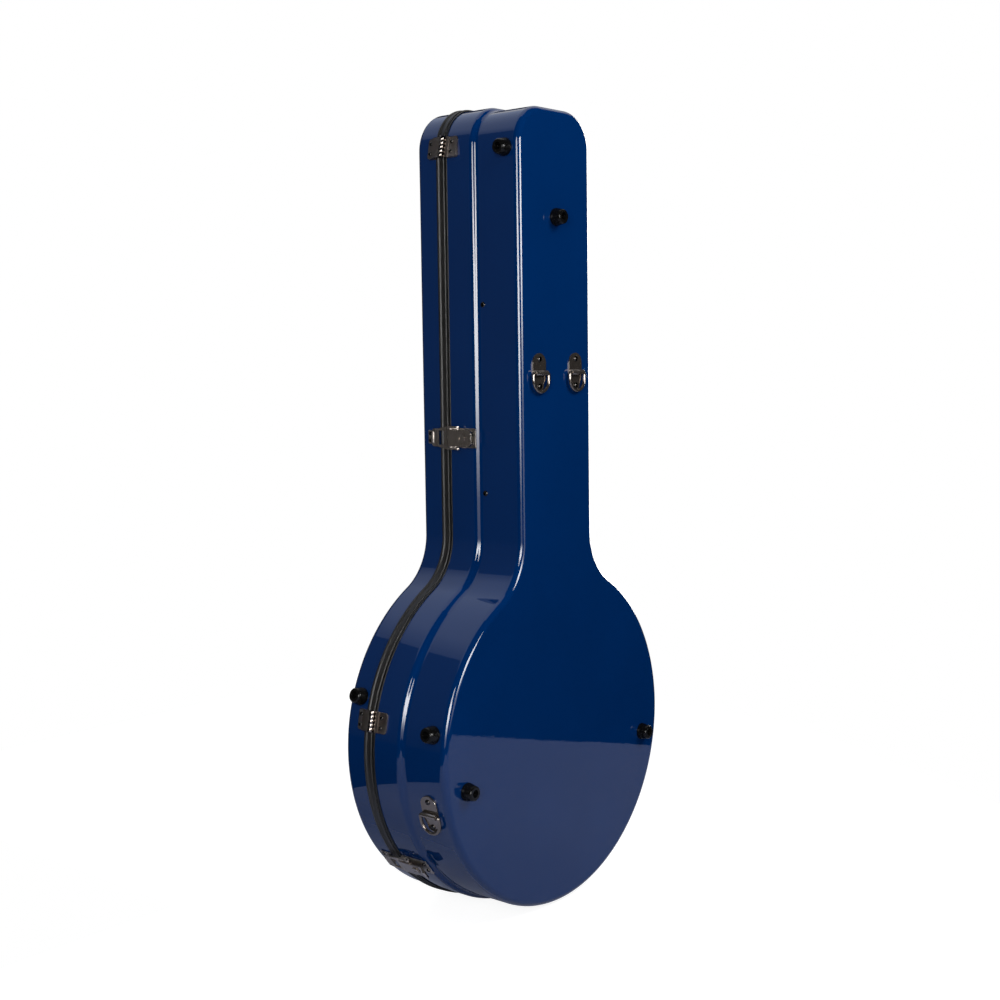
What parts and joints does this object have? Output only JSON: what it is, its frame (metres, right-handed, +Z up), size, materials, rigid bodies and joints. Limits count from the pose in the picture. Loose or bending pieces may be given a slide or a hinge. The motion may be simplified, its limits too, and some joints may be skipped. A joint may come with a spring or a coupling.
{
  "type": "banjo case",
  "caption": "Hard-shell banjo case with a round bowl and straight neck, a side-hinged lid on a rubber seal, draw latches, strap rings, rubber feet, a folding handle and a padded interior.",
  "frame": {"origin": "on the back face, midway between the roll axes of the two upper strap rings", "axes": "+Z up along the case towards its neck end, +Y from the back face towards the lid, +X towards the handle side, away from the hinges"},
  "size_m": [0.4316, 0.1668, 0.9655],
  "materials": {
    "shell_paint": "high gloss",
    "rubber": "satin",
    "lining": "plush",
    "latch_metal": "black chrome, satin",
    "bright_metal": "smoked chrome",
    "grip": "moulded, satin",
    "board": "cloth-covered plywood"
  },
  "bodies": {
    "shell": {"back_shell": "shell_paint", "rim_trim": "rubber", "shell_lining": "lining", "shell_leaves": "latch_metal", "hinge_pins": "latch_metal", "latch_bases": "latch_metal", "latch_pins": "latch_metal", "back_feet": "rubber", "side_feet": "rubber", "strap_plates": "bright_metal", "small_screws": "latch_metal", "large_screws": "bright_metal", "handle_brackets": "latch_metal", "handle_pins": "latch_metal", "compartment_walls": "board", "compartment_pins": "bright_metal", "neck_rest": "lining"},
    "lid": {"lid_shell": "shell_paint", "lid_seal": "rubber", "lid_lining": "lining", "lid_leaves": "latch_metal", "latch_keepers": "latch_metal", "lid_foot": "rubber", "lid_foot_screw": "bright_metal", "lid_screws": "latch_metal"},
    "handle": {"handle_grip": "grip"},
    "compartment_lid": {"compartment_lid": "board"},
    "neck_lever": {"neck_lever": "latch_metal"},
    "neck_bail": {"neck_bail": "latch_metal"},
    "low_lever": {"low_lever": "latch_metal"},
    "low_bail": {"low_bail": "latch_metal"},
    "far_top_lever": {"far_top_lever": "latch_metal"},
    "far_top_bail": {"far_top_bail": "latch_metal"},
    "far_neck_lever": {"far_neck_lever": "latch_metal"},
    "far_neck_bail": {"far_neck_bail": "latch_metal"},
    "far_bowl_lever": {"far_bowl_lever": "latch_metal"},
    "far_bowl_bail": {"far_bowl_bail": "latch_metal"},
    "far_low_lever": {"far_low_lever": "latch_metal"},
    "far_low_bail": {"far_low_bail": "latch_metal"},
    "upper_left_ring": {"upper_left_ring": "bright_metal"},
    "upper_right_ring": {"upper_right_ring": "bright_metal"},
    "lower_left_ring": {"lower_left_ring": "bright_metal"},
    "lower_right_ring": {"lower_right_ring": "bright_metal"}
  },
  "joints": [
    {"name": "lid_hinge", "type": "hinge", "parent": "shell", "child": "lid", "pos_m": [-0.21235, 0.108, -0.39461], "axis": [0.1993, 0, 0.9799], "range_deg": [0, 110]},
    {"name": "neck_lever_hinge", "type": "hinge", "parent": "shell", "child": "neck_lever", "pos_m": [-0.0772, 0.101, -0.076], "axis": [0, 0, -1], "range_deg": [0, 99]},
    {"name": "neck_bail_hinge", "type": "hinge", "parent": "neck_lever", "child": "neck_bail", "pos_m": [-0.0776, 0.09, -0.076], "axis": [0, 0, 1], "range_deg": [0, 150]},
    {"name": "low_lever_hinge", "type": "hinge", "parent": "shell", "child": "low_lever", "pos_m": [-0.16817, 0.101, -0.57398], "axis": [0.6293, 0, -0.7771], "range_deg": [0, 99]},
    {"name": "low_bail_hinge", "type": "hinge", "parent": "low_lever", "child": "low_bail", "pos_m": [-0.16848, 0.09, -0.57424], "axis": [-0.6293, 0, 0.7771], "range_deg": [0, 150]},
    {"name": "far_top_lever_hinge", "type": "hinge", "parent": "shell", "child": "far_top_lever", "pos_m": [0.0772, 0.101, 0.191], "axis": [0, 0, 1], "range_deg": [0, 99]},
    {"name": "far_top_bail_hinge", "type": "hinge", "parent": "far_top_lever", "child": "far_top_bail", "pos_m": [0.0776, 0.09, 0.191], "axis": [0, 0, -1], "range_deg": [0, 150]},
    {"name": "far_neck_lever_hinge", "type": "hinge", "parent": "shell", "child": "far_neck_lever", "pos_m": [0.0772, 0.101, -0.025], "axis": [0, 0, 1], "range_deg": [0, 99]},
    {"name": "far_neck_bail_hinge", "type": "hinge", "parent": "far_neck_lever", "child": "far_neck_bail", "pos_m": [0.0776, 0.09, -0.025], "axis": [0, 0, -1], "range_deg": [0, 150]},
    {"name": "far_bowl_lever_hinge", "type": "hinge", "parent": "shell", "child": "far_bowl_lever", "pos_m": [0.20335, 0.101, -0.36379], "axis": [-0.342, 0, 0.9397], "range_deg": [0, 99]},
    {"name": "far_bowl_bail_hinge", "type": "hinge", "parent": "far_bowl_lever", "child": "far_bowl_bail", "pos_m": [0.20372, 0.09, -0.36365], "axis": [0.342, 0, -0.9397], "range_deg": [0, 150]},
    {"name": "far_low_lever_hinge", "type": "hinge", "parent": "shell", "child": "far_low_lever", "pos_m": [0.16817, 0.101, -0.57398], "axis": [0.6293, 0, 0.7771], "range_deg": [0, 99]},
    {"name": "far_low_bail_hinge", "type": "hinge", "parent": "far_low_lever", "child": "far_low_bail", "pos_m": [0.16848, 0.09, -0.57424], "axis": [-0.6293, 0, -0.7771], "range_deg": [0, 150]},
    {"name": "upper_left_ring_swing", "type": "hinge", "parent": "shell", "child": "upper_left_ring", "pos_m": [-0.0342, -0.0038, 0], "axis": [-1, 0, 0], "range_deg": [0, 170]},
    {"name": "upper_right_ring_swing", "type": "hinge", "parent": "shell", "child": "upper_right_ring", "pos_m": [0.0342, -0.0038, 0], "axis": [-1, 0, 0], "range_deg": [0, 170]},
    {"name": "lower_left_ring_swing", "type": "hinge", "parent": "shell", "child": "lower_left_ring", "pos_m": [-0.20284, 0.028, -0.49215], "axis": [0, 1, 0], "range_deg": [-3, 167]},
    {"name": "lower_right_ring_swing", "type": "hinge", "parent": "shell", "child": "lower_right_ring", "pos_m": [0.20284, 0.028, -0.49215], "axis": [0, -1, 0], "range_deg": [-3, 167]},
    {"name": "handle_swing", "type": "hinge", "parent": "shell", "child": "handle", "pos_m": [0.075, 0.038, -0.1242], "axis": [0, 0, -1], "range_deg": [0, 155]},
    {"name": "compartment_lid_hinge", "type": "hinge", "parent": "shell", "child": "compartment_lid", "pos_m": [-0.0481, 0.057, -0.0305], "axis": [0, 0, 1], "range_deg": [0, 88]}
  ],
  "couplings": [
    {"joint": "neck_lever_hinge", "follows": "lid_hinge", "ratio": 0.9},
    {"joint": "neck_bail_hinge", "follows": "lid_hinge", "ratio": 1.36},
    {"joint": "low_lever_hinge", "follows": "lid_hinge", "ratio": 0.9},
    {"joint": "low_bail_hinge", "follows": "lid_hinge", "ratio": 1.36},
    {"joint": "far_top_bail_hinge", "follows": "far_top_lever_hinge", "ratio": 1.5},
    {"joint": "far_neck_bail_hinge", "follows": "far_neck_lever_hinge", "ratio": 1.5},
    {"joint": "far_bowl_bail_hinge", "follows": "far_bowl_lever_hinge", "ratio": 1.5},
    {"joint": "far_low_bail_hinge", "follows": "far_low_lever_hinge", "ratio": 1.5},
    {"joint": "compartment_lid_hinge", "follows": "lid_hinge", "ratio": 0.8}
  ]
}
